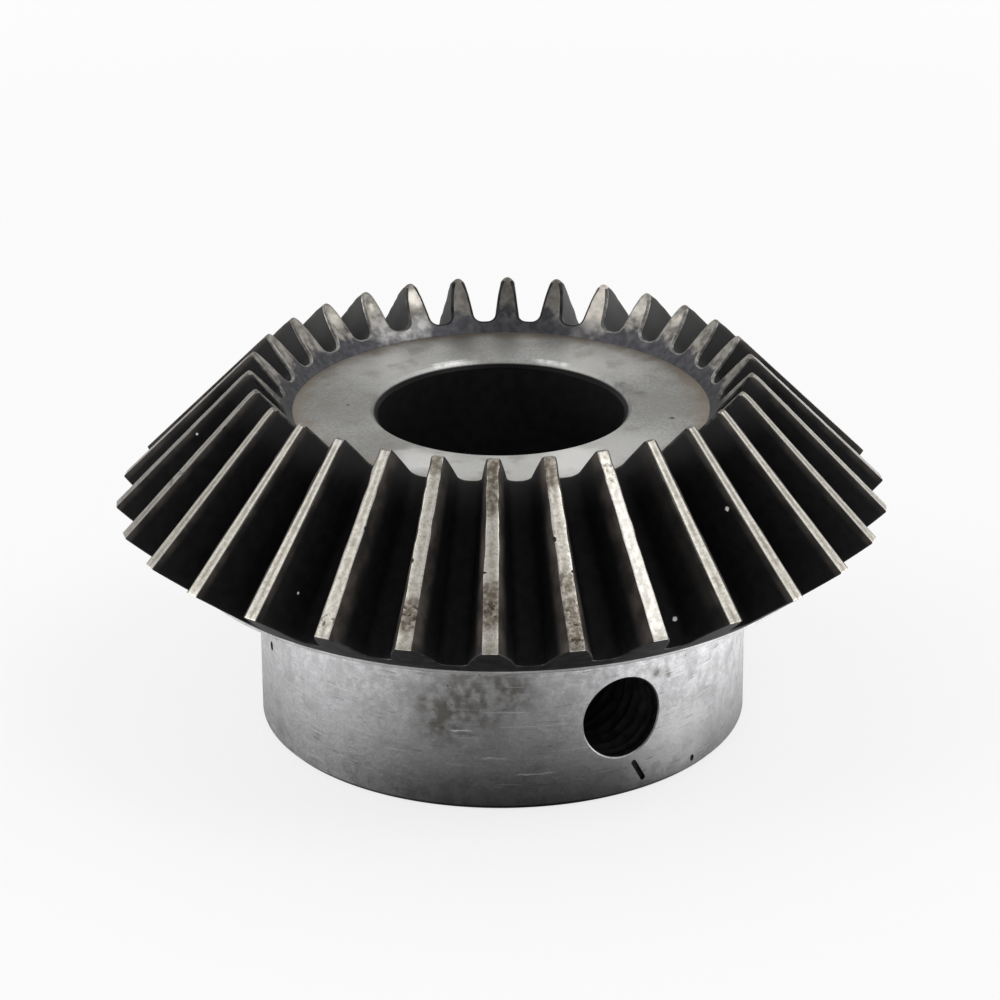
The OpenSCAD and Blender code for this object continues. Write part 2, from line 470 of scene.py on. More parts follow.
def wobble(rows, names):
    """Sideways waves of the land edges around the whole gear, in radians, for each row and column."""
    random = np.random.default_rng(WOBBLE_SEED)
    count = rows.shape[1]
    half = count // 2
    weights = np.zeros(count)
    weights[half + LAND_START - EDGE_STEPS - 1:] = FLANK_FADE + [1.0] * (EDGE_STEPS - 1) + LAND_FADE
    weights[1:half] = -weights[:half:-1]
    numbers = np.arange(len(rows))
    on_teeth = [number for number in numbers if names[number][half] == "flank"]
    first, last = on_teeth[0], on_teeth[-1]
    fade = np.clip((numbers - first) / FADE_ROWS, 0, 1) * np.clip((last - numbers) / FADE_ROWS, 0, 1)
    knots = np.linspace(first, last, WOBBLE_KNOTS)
    waves = np.zeros((len(rows), TOOTH_COUNT, count))
    for tooth in range(TOOTH_COUNT):
        for side in (slice(0, half), slice(half, count)):
            wave = np.interp(numbers, knots, random.normal(0, LAND_WOBBLE, len(knots)))
            waves[:, tooth, side] = (wave * fade)[:, None] * weights[side]
    return waves / rows[:, None, :, 1]


def gear_rows(wear):
    """Rows of one pitch around the whole section, and the surface of each face that follows a row."""
    start = cartesian(sector(TOE_DISTANCE - OVERCUT))
    end = cartesian(sector(HEEL_DISTANCE + OVERCUT))
    toe_share = meeting_shares(start, end, toe_cone)
    heel_share = meeting_shares(start, end, heel_cone)
    lengths = np.linalg.norm(end - start, axis=1)

    def on_lines(share):
        return start + (end - start) * share[:, None]

    heel_edge = on_lines(heel_share)
    heel_outline = inset(polar_of(heel_edge), heel_cone, HEEL_FACE_ANGLE, HEEL_END_EDGE)
    skin_first = toe_share + TOE_END_EDGE / lengths
    skin_last = heel_share - HEEL_END_EDGE / lengths

    count = len(start)
    half_names = ["flank"] * (LAND_START - 1) + ["land"] * (1 + LAND_STEPS)
    across = half_names[::-1] + half_names
    edge_names = ["toe" if name == "land" else "edge" for name in across]
    heel_names = ["land" if name == "land" else "heel" for name in across]

    rows, names = [], []

    def add(new_rows, row_names):
        rows.extend(new_rows)
        names.extend([row_names] * len(new_rows))

    sharp_edge = polar_of(on_lines(toe_share))
    worn_edge = lowered(sharp_edge, worn_drop(sharp_edge) * wear, DISH_ANGLE)
    toe_outline = inset(worn_edge, toe_cone, DISH_ANGLE, TOE_END_EDGE)
    add(face_rows(FRONT_RADIUS + TURNED_EDGE, toe_outline, toe_cone), ["toe"] * count)
    skin_edge = worn_tip(polar_of(on_lines(skin_first)), wear)
    add(end_rows(cartesian(worn_edge), cartesian(toe_outline), cartesian(skin_edge))[:-1], edge_names)
    steps = np.linspace(0, 1, TOOTH_ROWS + 1)
    for step in (1 - TOE_CROWDING) * steps + TOE_CROWDING * steps ** 3:
        share = skin_first + (skin_last - skin_first) * step
        add([worn_tip(polar_of(on_lines(share)), wear)], across)
    names[-1] = heel_names
    add(end_rows(heel_edge, cartesian(heel_outline), on_lines(skin_last))[-2:0:-1], heel_names)
    heel_face = face_rows(RIM_RADIUS + TURNED_EDGE, heel_outline, heel_cone)
    add([heel_outline] + heel_face[::-1], ["heel"] * count)
    profile, surfaces = turned_rows(heel_outline[:, 0])
    for row, surface in zip(profile, surfaces):
        add([row], [surface] * count)
    return np.array(rows), names


def ring_faces(row_count, side_count, closed=False):
    """Quads between rings of points, and from the last ring to the first where the rings close."""
    faces = []
    for row in range(row_count if closed else row_count - 1):
        here, ahead = row * side_count, (row + 1) % row_count * side_count
        for side in range(side_count):
            beside = (side + 1) % side_count
            faces.append((here + side, ahead + side, ahead + beside, here + beside))
    return faces


def new_mesh(name, points, faces, surfaces):
    """A mesh of points in millimetres and faces, with the surface of each face."""
    mesh = bpy.data.meshes.new(name)
    mesh.from_pydata((points * MM).tolist(), [], faces)
    mesh.polygons.foreach_set("material_index", [SURFACES.index(surface) for surface in surfaces])
    return mesh


def gear_mesh():
    """The whole gear as one closed mesh."""
    rows, names = gear_rows(0)
    worn_rows = gear_rows(1)[0]
    row_count, count = rows.shape[:2]
    teeth = np.arange(TOOTH_COUNT)
    on_left = np.arange(count) < count // 2
    share = wear_share(teeth[:, None] - on_left)
    rings = rows[:, None] + (worn_rows - rows)[:, None] * share[None, :, :, None]
    turns = HOLE_DIRECTION + 2 * HALF_PITCH * teeth
    rings[..., 0] += turns[None, :, None] + wobble(rows, names)
    faces = ring_faces(row_count, count * TOOTH_COUNT, closed=True)
    surfaces = [name for row_names in names for name in row_names * TOOTH_COUNT]
    return new_mesh("bevel_gear_skin", cartesian(rings).reshape(-1, 3), faces, surfaces)


def hole_cutter():
    """Closed mesh of the tapped hole, from inside the bore out past the hub and its broken edge there."""
    turns = np.linspace(0, 2 * math.pi, HOLE_SIDES, endpoint=False)

    def hub_surface(radius):
        return np.sqrt(HUB_RADIUS ** 2 - (radius * np.cos(turns)) ** 2)

    mouth = hub_surface(HOLE_RADIUS) - MOUTH_EDGE
    inner = BORE_RADIUS - OVERCUT
    rings = []
    for row in range(HOLE_ROWS + 1):
        reach = inner + (mouth - inner) * row / HOLE_ROWS
        phase = (reach / THREAD_PITCH + turns / (2 * math.pi)) % 1
        groove = np.clip((np.abs(2 * phase - 1) - THREAD_CREST) / (1 - 2 * THREAD_CREST), 0, 1)
        full = np.clip((mouth - reach - THREAD_LEAD_IN) / THREAD_PITCH, 0, 1)
        rings.append((HOLE_RADIUS + THREAD_DEPTH * groove * full, reach))
    wide = np.full(HOLE_SIDES, HOLE_RADIUS + MOUTH_EDGE)
    rings.append((wide, hub_surface(wide)))
    rings.append((wide, np.full(HOLE_SIDES, HUB_RADIUS + OVERCUT)))

    radius, reach = np.moveaxis(np.array(rings), 1, 0)
    points = np.stack([radius * np.cos(turns), -reach, HOLE_HEIGHT + radius * np.sin(turns)], axis=-1)
    last = len(rings) * HOLE_SIDES - 1
    faces = [tuple(range(HOLE_SIDES)), tuple(last - side for side in range(HOLE_SIDES))]
    faces += ring_faces(len(rings), HOLE_SIDES)
    surfaces = ["hole"] * len(faces)
    rim = 2 + (len(rings) - 3) * HOLE_SIDES
    surfaces[rim:rim + HOLE_SIDES] = ["land"] * HOLE_SIDES
    return new_mesh("hole_cutter", points.reshape(-1, 3), faces, surfaces)


# Places of marks and dents

def place_at(turn, radius, height):
    """A point at a turn from the set-screw hole, to the right as seen from outside."""
    turn += HOLE_DIRECTION
    return (radius * math.cos(turn), radius * math.sin(turn), height)


def hub_point(degrees, height):
    return place_at(math.radians(degrees), HUB_RADIUS, height)


def face_point(degrees, radius):
    return place_at(math.radians(degrees), radius, FRONT_HEIGHT)


def land_point(tooth, share):
    """A point on a tooth's land: tooth 0 is right of the hole; share is 0 at the toe and 1 at the heel."""
    radius = TOE_RADIUS + (TIP_RADIUS - TOE_RADIUS) * share
    height = TOE_HEIGHT + (HEEL_HEIGHT - TOE_HEIGHT) * share
    return place_at((2 * tooth + 1) * HALF_PITCH, radius, height)


def toe_point(tooth):
    """A point in the middle of a tooth's toe end."""
    radius = TOE_RADIUS - TOE_MIDDLE
    return place_at((2 * tooth + 1) * HALF_PITCH, radius, toe_cone(radius))


def dent_matrix(point, lengthwise, normal, sizes):
    """Places a unit ball as a dent: sizes are its length, its width and its depth."""
    normal = normal.normalized()
    lengthwise = (lengthwise - normal * lengthwise.dot(normal)).normalized()
    axes = Matrix((lengthwise, normal.cross(lengthwise), normal)).transposed().to_4x4()
    length, width, depth = sizes
    scale = Matrix.Diagonal((length / 2 * MM, width / 2 * MM, depth * MM, 1))
    return Matrix.Translation(Vector(point) * MM) @ axes @ scale


def dent_matrices():
    """Places of the round dents, with the surface that each of them shows, and the place of the groove."""
    dents = []
    for (tooth, share, side), sizes in LAND_NICKS:
        point = Vector(land_point(tooth, share))
        lengthwise = Vector(land_point(tooth, 1)) - Vector(land_point(tooth, 0))
        sideways = Vector((-point.y, point.x, 0)).normalized()
        normal = sideways.cross(lengthwise)
        half_land = TOE_HALF_LAND + (HEEL_HALF_LAND - TOE_HALF_LAND) * share
        dents.append((dent_matrix(point + sideways * side * half_land, lengthwise, normal, sizes), "flank"))
    for place, size in HUB_PITS:
        point = Vector(hub_point(*place))
        sizes = [share * size for share in PIT_SHAPE]
        dents.append((dent_matrix(point, Vector((0, 0, 1)), Vector((point.x, point.y, 0)), sizes), "heel"))
    first, last, width, depth = HUB_GROOVE
    start, end = Vector(hub_point(*first)), Vector(hub_point(*last))
    middle = (start + end) / 2
    sizes = ((end - start).length, width, depth)
    groove = dent_matrix(middle, end - start, Vector((middle.x, middle.y, 0)), sizes)
    return dents, groove


def dent_cutter():
    """Closed mesh of all the dents."""
    work = bmesh.new()
    dents, groove = dent_matrices()
    bmesh.ops.create_cube(work, size=2, matrix=groove)
    bmesh.ops.bevel(work, geom=work.edges[:], offset=GROOVE_ROUNDING * MM, segments=2, affect="EDGES")
    for face in work.faces:
        face.material_index = SURFACES.index("heel")
    for matrix, surface in dents:
        made = bmesh.ops.create_uvsphere(
            work, u_segments=DENT_SIDES, v_segments=DENT_SIDES // 2, radius=1, matrix=matrix)
        for face in {face for vertex in made["verts"] for face in vertex.link_faces}:
            face.material_index = SURFACES.index(surface)
    mesh = bpy.data.meshes.new("dent_cutter")
    work.to_mesh(mesh)
    work.free()
    return mesh


def add_object(name, data):
    """A new object in the scene."""
    made = bpy.data.objects.new(name, data)
    bpy.context.scene.collection.objects.link(made)
    return made


def placed(mesh, materials):
    """An object of the closed mesh, its faces turned outward, with the gear's materials in their slots."""
    for material in materials:
        mesh.materials.append(material)
    work = bmesh.new()
    work.from_mesh(mesh)
    bmesh.ops.recalc_face_normals(work, faces=work.faces)
    work.to_mesh(mesh)
    work.free()
    return add_object(mesh.name, mesh)


def cut(body, cutter):
    """The body's mesh with the cutter taken away. The cutter is deleted."""
    modifier = body.modifiers.new("cut", "BOOLEAN")
    modifier.operation = "DIFFERENCE"
    modifier.solver = "MANIFOLD"
    modifier.object = cutter
    shown = body.evaluated_get(bpy.context.evaluated_depsgraph_get())
    mesh = bpy.data.meshes.new_from_object(shown)
    body.modifiers.clear()
    body.data = mesh
    bpy.data.objects.remove(cutter)


def set_turned_normals(mesh):
    """Gives the flat, round and conical turned surfaces their true normals, up to their rounded corners."""
    surfaces = [
        ((HUB_RADIUS, 0), (1, 0)),
        ((BORE_RADIUS, 0), (-1, 0)),
        ((HUB_RADIUS, 0), (0, -1)),
        ((FRONT_RADIUS, FRONT_HEIGHT), (0, 1)),
        ((TOE_RADIUS, TOE_HEIGHT), (-math.sin(DISH_ANGLE), math.cos(DISH_ANGLE))),
        ((TIP_RADIUS, HEEL_HEIGHT), (math.sin(HEEL_FACE_ANGLE), -math.cos(HEEL_FACE_ANGLE))),
    ]
    points = np.zeros(len(mesh.vertices) * 3)
    mesh.vertices.foreach_get("co", points)
    corner_points = np.zeros(len(mesh.loops), int)
    mesh.loops.foreach_get("vertex_index", corner_points)
    starts = np.zeros(len(mesh.polygons), int)
    mesh.polygons.foreach_get("loop_start", starts)
    sizes = np.diff(np.append(starts, len(mesh.loops)))
    corners = polar_of(points.reshape(-1, 3) / MM)[corner_points]
    normals = np.zeros_like(corners)
    for place, direction in surfaces:
        on_surface = np.abs((corners[:, 1:] - place) @ direction) < SURFACE_REACH
        whole = np.repeat(np.logical_and.reduceat(on_surface, starts), sizes)
        outward = corners[whole]
        outward[:, 1:] = direction
        normals[whole] = cartesian(outward)
    mesh.normals_split_custom_set(normals.tolist())


def build_gear(materials):
    gear = placed(gear_mesh(), materials)
    cut(gear, placed(hole_cutter(), materials))
    cut(gear, placed(dent_cutter(), materials))
    gear.name = "bevel_gear_steel"
    mesh = gear.data
    mesh.polygons.foreach_set("use_smooth", [True] * len(mesh.polygons))
    mesh.set_sharp_from_angle(angle=SHARP_ANGLE)
    set_turned_normals(mesh)
    return gear


# Materials

class Nodes:
    """Adds nodes to the node tree of a material or the world."""

    def __init__(self, owner):
        owner.use_nodes = True
        self.nodes = owner.node_tree.nodes
        self.links = owner.node_tree.links

    def feed(self, socket, value):
        """Links another node's output to a socket, or sets a plain value on it."""
        if isinstance(value, bpy.types.NodeSocket):
            self.links.new(value, socket)
        elif socket.type == "RGBA":
            socket.default_value = (*value, 1)
        else:
            socket.default_value = value

    def vector(self, operation, first, second=None, scale=None):
        node = self.nodes.new("ShaderNodeVectorMath")
        node.operation = operation
        self.feed(node.inputs[0], first)
        if second is not None:
            self.feed(node.inputs[1], second)
        if scale is not None:
            self.feed(node.inputs["Scale"], scale)
        return node.outputs["Value" if operation in ("LENGTH", "DISTANCE", "DOT_PRODUCT") else "Vector"]

    def math(self, operation, first, second=0.0):
        node = self.nodes.new("ShaderNodeMath")
        node.operation = operation
        self.feed(node.inputs[0], first)
        self.feed(node.inputs[1], second)
        return node.outputs[0]

    def times(self, first, second):
        return self.math("MULTIPLY", first, second)

    def ramp(self, value, low, high, start=0.0, end=1.0):
        """A soft change from start to end as the value goes from low to high."""
        node = self.nodes.new("ShaderNodeMapRange")
        node.interpolation_type = "SMOOTHSTEP"
        self.feed(node.inputs["Value"], value)
        for name, number in zip(("From Min", "From Max", "To Min", "To Max"), (low, high, start, end)):
            node.inputs[name].default_value = number
        return node.outputs["Result"]

    def mix(self, share, first, second):
        node = self.nodes.new("ShaderNodeMix")
        node.data_type = "RGBA"
        self.feed(node.inputs[0], share)
        self.feed(node.inputs[6], first)
        self.feed(node.inputs[7], second)
        return node.outputs[2]


class Shader(Nodes):
    """Builds the nodes of one material around its principled surface. Sizes are in millimetres."""

    def __init__(self, name, metallic, roughness, specular=0.5):
        self.material = bpy.data.materials.new(name)
        super().__init__(self.material)
        self.colour = None
        self.surface = self.nodes["Principled BSDF"]
        self.surface.inputs["Metallic"].default_value = metallic
        self.surface.inputs["Roughness"].default_value = roughness
        self.surface.inputs["Specular IOR Level"].default_value = specular
        metres = self.nodes.new("ShaderNodeTexCoord").outputs["Object"]
        self.place = self.vector("SCALE", metres, scale=1 / MM)
        parts = self.nodes.new("ShaderNodeSeparateXYZ")
        self.feed(parts.inputs[0], self.place)
        self.ahead, self.across, self.height = parts.outputs
        self.radius = self.vector("LENGTH", self.vector("MULTIPLY", self.place, (1, 1, 0)))

    def coat(self, share, colour, strength=None):
        """Lays a colour over the colour so far, as far as the share says, times the strength."""
        if strength is not None:
            share = self.times(share, strength)
        self.colour = self.mix(share, self.colour, colour)

    def noise(self, size, detail=3.0):
        """Noise whose features have about the given size, or the given sizes along X, Y and Z."""
        sizes = size if isinstance(size, tuple) else (size, size, size)
        node = self.nodes.new("ShaderNodeTexNoise")
        node.inputs["Scale"].default_value = 1.0
        node.inputs["Detail"].default_value = detail
        scaled = self.vector("MULTIPLY", self.place, tuple(1 / side for side in sizes))
        self.feed(node.inputs["Vector"], scaled)
        return node.outputs["Fac"]

    def clouds(self, size, detail, low, high, start=0.0, end=1.0):
        """Noise as soft patches that change from start to end."""
        return self.ramp(self.noise(size, detail), low, high, start, end)

    def rings(self, distance, size):
        """Fine marks left by a turning tool, at a changing distance from the axis or the end."""
        node = self.nodes.new("ShaderNodeTexNoise")
        node.noise_dimensions = "1D"
        node.inputs["Scale"].default_value = 1 / size
        node.inputs["Detail"].default_value = 2.0
        self.feed(node.inputs["W"], distance)
        return node.outputs["Fac"]

    def spot(self, point, size, softness=0.6):
        """1 within a size of the point, falling to 0 outside, with a ragged edge."""
        away = self.vector("DISTANCE", self.place, point)
        ragged = self.math("ADD", away, self.clouds(size * 0.8, 3.0, 0.2, 0.8, -size * 0.3, size * 0.3))
        return self.ramp(ragged, size * (1 - softness / 2), size * (1 + softness / 2), 1.0, 0.0)

    def spots(self, marks, softness=0.6):
        """The largest of several spots, each given by its point and size."""
        total = 0.0
        for point, size in marks:
            total = self.math("MAXIMUM", total, self.spot(point, size, softness))
        return total

    def marks(self, point_at, places, softness):
        """Spots of given sizes, at places that a function turns into points."""
        return self.spots([(point_at(*place), size) for place, size in places], softness)

    def from_tooth_middle(self):
        """Distance of a point sideways from the middle of its tooth."""
        turn = self.math("ARCTAN2", self.across, self.ahead)
        pitches = self.math("DIVIDE", self.math("SUBTRACT", turn, HOLE_DIRECTION), 2 * HALF_PITCH)
        share = self.math("SUBTRACT", self.math("FRACT", pitches), 0.5)
        turned = self.times(self.math("ABSOLUTE", share), 2 * HALF_PITCH)
        return self.times(turned, self.radius)

    def facing(self, azimuth=0):
        """1 on the side at an angle from the front, to the right in degrees, falling to -1 behind it."""
        forward = self.vector("DOT_PRODUCT", self.place, view_direction(azimuth, 0))
        return self.math("DIVIDE", forward, self.radius)

    def band(self, value, middle, half, softness):
        """1 where the value is within half of the middle, falling to 0 outside."""
        away = self.math("ABSOLUTE", self.math("SUBTRACT", value, middle))
        return self.ramp(away, half, half + softness, 1.0, 0.0)

    def slant(self, outward, upward, start):
        """The radius and the height of a point, each times its share, added to a start."""
        slanted = self.math("ADD", self.times(self.radius, outward), self.times(self.height, upward))
        return self.math("ADD", slanted, start)

    def from_apex(self):
        """Distance of a point from the apex of the pitch cone, along that cone."""
        fall = math.cos(PITCH_ANGLE)
        return self.slant(math.sin(PITCH_ANGLE), -fall, APEX_HEIGHT * fall)

    def below_tip(self):
        """Depth of a point below the cone of the tooth tips."""
        outward, upward = math.cos(TIP_ANGLE), math.sin(TIP_ANGLE)
        return self.slant(-outward, -upward, TIP_RADIUS * outward + HEEL_HEIGHT * upward)

    def finish(self, roughness=None, relief=None, depth=0.0):
        """Sets the colour, the roughness and the relief, whose depth is in millimetres."""
        self.feed(self.surface.inputs["Base Color"], self.colour)
        if roughness is not None:
            self.feed(self.surface.inputs["Roughness"], roughness)
        if relief is not None:
            bump = self.nodes.new("ShaderNodeBump")
            bump.inputs["Distance"].default_value = depth * MM
            self.feed(bump.inputs["Height"], relief)
            self.feed(self.surface.inputs["Normal"], bump.outputs["Normal"])
        return self.material


def hub_steel():
    """Turned steel with a mottled grey skin, grey-brown stains, fine scratches, painted shade low in front
    and painted light.
    """
    skin = Shader("hub steel", 1, 0.4)
    mottle = skin.clouds(0.9, 6, 0.36, 0.64)
    grain = skin.clouds((0.4, 0.4, 0.32), 4, 0.32, 0.68)
    skin.colour = skin.mix(mottle, (0.49, 0.485, 0.492), (0.64, 0.635, 0.65))
    skin.coat(grain, (0.37, 0.365, 0.375), 0.35)
    fine = skin.clouds(0.18, 2, 0.35, 0.65, 0, 0.28)
    skin.coat(fine, (0.3, 0.296, 0.3))
    patches = skin.clouds((2.6, 2.6, 1.8), 7, 0.5, 0.7, 0, 0.42)
    skin.coat(patches, (0.3, 0.288, 0.29))
    # Painted shade: darker towards the bottom on the side of the hub that faces the camera
    painted_low_shade = skin.ramp(skin.height, 0.2, 5, 0.45, 0)
    painted_low_shade = skin.times(painted_low_shade, skin.ramp(skin.facing(), 0.7, 0.98))
    skin.coat(painted_low_shade, (0.16, 0.16, 0.162))
    stain = skin.marks(hub_point, HUB_STAINS, 1.4)
    blotches = skin.clouds(0.8, 6, 0.34, 0.64, 0.25, 0.92)
    skin.coat(stain, (0.165, 0.158, 0.138), blotches)
    # Painted light: a pale patch low on the hub, right of the hole
    pale_patch = skin.marks(hub_point, HUB_PAINTED_LIGHT, 1.4)
    skin.coat(pale_patch, (0.86, 0.86, 0.87), 0.6)
    dark_lines = skin.clouds((2.6, 2.6, 0.16), 2, 0.66, 0.74, 0, 0.65)
    skin.coat(dark_lines, (0.15, 0.145, 0.145))
    light_lines = skin.clouds((7, 7, 0.11), 1, 0.7, 0.75, 0, 0.7)
    skin.coat(light_lines, (0.78, 0.78, 0.79))
    specks = skin.clouds(0.55, 1, 0.77, 0.82, 0, 0.7)
    skin.coat(specks, (0.12, 0.11, 0.105))
    for place, length in HUB_SCRATCHES:
        ragged = skin.math("ADD", skin.height, skin.clouds(1.2, 3, 0.3, 0.7, -0.06, 0.06))
        scratch = skin.band(ragged, place[1], 0.03, 0.07)
        scratch = skin.times(scratch, skin.spot(hub_point(*place), length))
        skin.coat(scratch, (0.95, 0.95, 0.95), 0.8)
    roughness = skin.ramp(mottle, 0, 1, 0.5, 0.38)
    relief = skin.math("ADD", skin.rings(skin.height, 0.16), grain)
    return skin.finish(roughness, relief, 0.004)


def flank_black():
    """Blackened flanks with a few bright chips, lighter under the worn tips, and painted light under the
    front tips and at the rear toes.
    """
    skin = Shader("flank black", 0, 0.6, 0.08)
    grain = skin.clouds(0.8, 5, 0.35, 0.65)
    skin.colour = skin.mix(grain, (0.0055, 0.0055, 0.006), (0.008, 0.008, 0.0085))
    toe_end = skin.ramp(skin.from_apex(), TOE_DISTANCE + 0.5, TOE_DISTANCE + 4, 0.3, 0)
    skin.coat(toe_end, (0.055, 0.054, 0.054))
    # Painted light: lighter near the toes of the teeth away from the front
    near_toe = skin.ramp(skin.from_apex(), TOE_DISTANCE + 0.5, TOE_DISTANCE + 6, 1, 0)
    rear = skin.times(near_toe, skin.ramp(skin.facing(), -0.2, -0.8, 0, 0.5))
    skin.coat(rear, (0.1, 0.099, 0.096))
    # Real wear at the tip edge, and painted light: a lighter strip below the tips of the teeth at the front
    edge = skin.ramp(skin.below_tip(), 0.15, 0.55, 0.5, 0)
    glow = skin.ramp(skin.below_tip(), 0.2, 1.8, 0.95, 0)
    glow = skin.times(glow, skin.ramp(skin.facing(), 0.78, 0.96))
    worn = skin.math("MAXIMUM", edge, glow)
    worn = skin.times(worn, skin.clouds(2, 5, 0.36, 0.66, 0.3, 1))
    skin.coat(worn, (0.08, 0.068, 0.059))
    chips = skin.spots(FLANK_CHIPS)
    skin.coat(chips, (0.75, 0.74, 0.73))
    return skin.finish(None, grain, 0.004)


def land_steel():
    """Bright worn tips of the teeth, cream in tone, with brown stains and dark pits on some teeth, and
    painted shade and highlights.
    """
    skin = Shader("land steel", 1, 0.42)
    mottle = skin.clouds(0.45, 5, 0.35, 0.65)
    skin.colour = skin.mix(mottle, (0.55, 0.515, 0.44), (0.76, 0.73, 0.66))
    aside = skin.from_tooth_middle()
    half_land = skin.ramp(skin.from_apex(), TOE_DISTANCE, HEEL_DISTANCE, TOE_HALF_LAND, HEEL_HALF_LAND)
    from_edge = skin.math("SUBTRACT", half_land, aside)
    skin.coat(skin.ramp(from_edge, 0.24, 0.36, 0.5, 0), (0.84, 0.81, 0.75))
    sides = skin.ramp(skin.facing(), 0.95, 0.83)
    broken = skin.clouds(2.5, 4, 0.38, 0.6, 0.2, 0.75)
    # Painted shade: a darker line along the middle of each land, broken by noise, stronger on the teeth to
    # the sides
    middle = skin.times(skin.ramp(aside, 0.05, 0.2, 1, 0), broken)
    middle = skin.times(middle, skin.math("ADD", skin.times(sides, 0.6), 0.3))
    skin.coat(middle, (0.28, 0.26, 0.225))
    # Painted shade: dark edges along the lands of the teeth to the sides
    painted_edge_shade = skin.times(sides, skin.ramp(from_edge, 0.08, 0.2, 0.95, 0))
    skin.coat(painted_edge_shade, (0.03, 0.028, 0.026))
    # Painted shade: lands darker away from the front
    painted_side_shade = skin.ramp(skin.facing(SHADE_AZIMUTH), 0.7, -0.15, 0, 0.8)
    skin.coat(painted_side_shade, (0.1, 0.095, 0.088))
    marks = skin.ramp(skin.rings(skin.height, 0.25), 0.64, 0.74, 0, 0.14)
    skin.coat(marks, (0.26, 0.235, 0.2))
    turned = skin.ramp(skin.height, HUB_LENGTH + 0.7, HUB_LENGTH + 0.9, 1, 0)
    skin.coat(turned, skin.mix(broken, (0.64, 0.64, 0.65), (0.4, 0.4, 0.405)))
    blotches = skin.clouds(0.35, 5, 0.3, 0.62, 0.35, 0.95)
    brown = skin.marks(land_point, LAND_STAINS, 0.8)
    skin.coat(brown, (0.19, 0.155, 0.12), blotches)
    clusters = skin.marks(land_point, LAND_PITS, 0.8)
    pits = skin.times(clusters, skin.clouds(0.36, 1, 0.52, 0.66))
    skin.coat(pits, (0.05, 0.042, 0.035), 0.85)
    specks = skin.clouds(0.16, 2, 0.54, 0.7, 0, 0.5)
    skin.coat(specks, (0.24, 0.215, 0.18))
    # Painted highlights along one land and at another tooth's toe
    land_highlight = skin.marks(land_point, LAND_HIGHLIGHTS, 1.2)
    skin.coat(land_highlight, (0.84, 0.82, 0.79), 0.42)
    roughness = skin.ramp(mottle, 0, 1, 0.47, 0.41)
    return skin.finish(roughness, skin.math("SUBTRACT", mottle, pits), 0.007)


def heel_steel():
    """Dark turned face under the heels of the teeth, with painted shade that darkens it away from the front.
    """
    skin = Shader("heel steel", 1, 0.5)
    mottle = skin.clouds(1, 5, 0.35, 0.65)
    skin.colour = skin.mix(mottle, (0.05, 0.049, 0.05), (0.105, 0.103, 0.105))
    # Painted shade: darker away from the front
    skin.coat(skin.ramp(skin.facing(), 0.97, 0.8, 0, 0.62), (0.005, 0.005, 0.005))
    return skin.finish(None, skin.rings(skin.radius, 0.2), 0.006)


def toe_steel():
    """Toe ends of the teeth, warm grey above and dark where they run into the dish, with painted shade at
    the back and painted highlights.
    """
    skin = Shader("toe steel", 1, 0.45)
    mottle = skin.clouds(0.6, 6, 0.34, 0.66)
    skin.colour = skin.mix(mottle, (0.21, 0.195, 0.172), (0.4, 0.38, 0.345))
    dark_spots = skin.clouds(1.4, 5, 0.5, 0.68, 0, 0.45)
    skin.coat(dark_spots, (0.1, 0.092, 0.083))
    # Painted shade: darker toe ends at the back
    skin.coat(skin.ramp(skin.facing(), -0.86, -0.96, 0, 0.55), (0.115, 0.108, 0.098))
    ragged = skin.math("ADD", skin.radius, skin.clouds(1.2, 5, 0.3, 0.7, -0.45, 0.45))
    low = skin.ramp(ragged, *DARK_DISH)
    dark = skin.mix(mottle, (0.068, 0.069, 0.076), (0.108, 0.108, 0.118))
    light_spots = skin.clouds(2.2, 5, 0.55, 0.7, 0, 0.3)
    dark = skin.mix(light_spots, dark, (0.24, 0.24, 0.245))
    skin.coat(low, dark)
    # Painted highlights on a few toe ends
    light = skin.spots([(toe_point(tooth), size) for tooth, size in TOE_HIGHLIGHTS], 1.2)
    light = skin.times(light, skin.clouds(0.9, 5, 0.3, 0.6, 0.45, 1))
    skin.coat(light, (0.76, 0.71, 0.64))
    # Painted highlights in the dish
    lights = skin.times(skin.spots(DISH_HIGHLIGHTS, 1.4), skin.ramp(mottle, 0, 1, 0.5, 1))
    skin.coat(lights, (0.42, 0.41, 0.4))
    return skin.finish(None, skin.rings(skin.radius, 0.18), 0.004)


def edge_steel():
    """Broken edges around the toe ends of the teeth, with painted shade at the back and painted light at its
    two sides.
    """
    skin = Shader("edge steel", 1, 0.5)
    mottle = skin.clouds(0.5, 5, 0.34, 0.66)
    # Painted light at the two sides (pale) and painted shade at the back (dark)
    pale = skin.mix(mottle, (0.2, 0.19, 0.175), (0.42, 0.405, 0.38))
    dark = skin.mix(mottle, (0.02, 0.02, 0.02), (0.05, 0.048, 0.046))
    sides = skin.ramp(skin.facing(), -0.95, -0.84)
    sides = skin.times(sides, skin.ramp(skin.facing(), 0.1, -0.2))
    skin.colour = skin.mix(sides, dark, pale)
    return skin.finish()


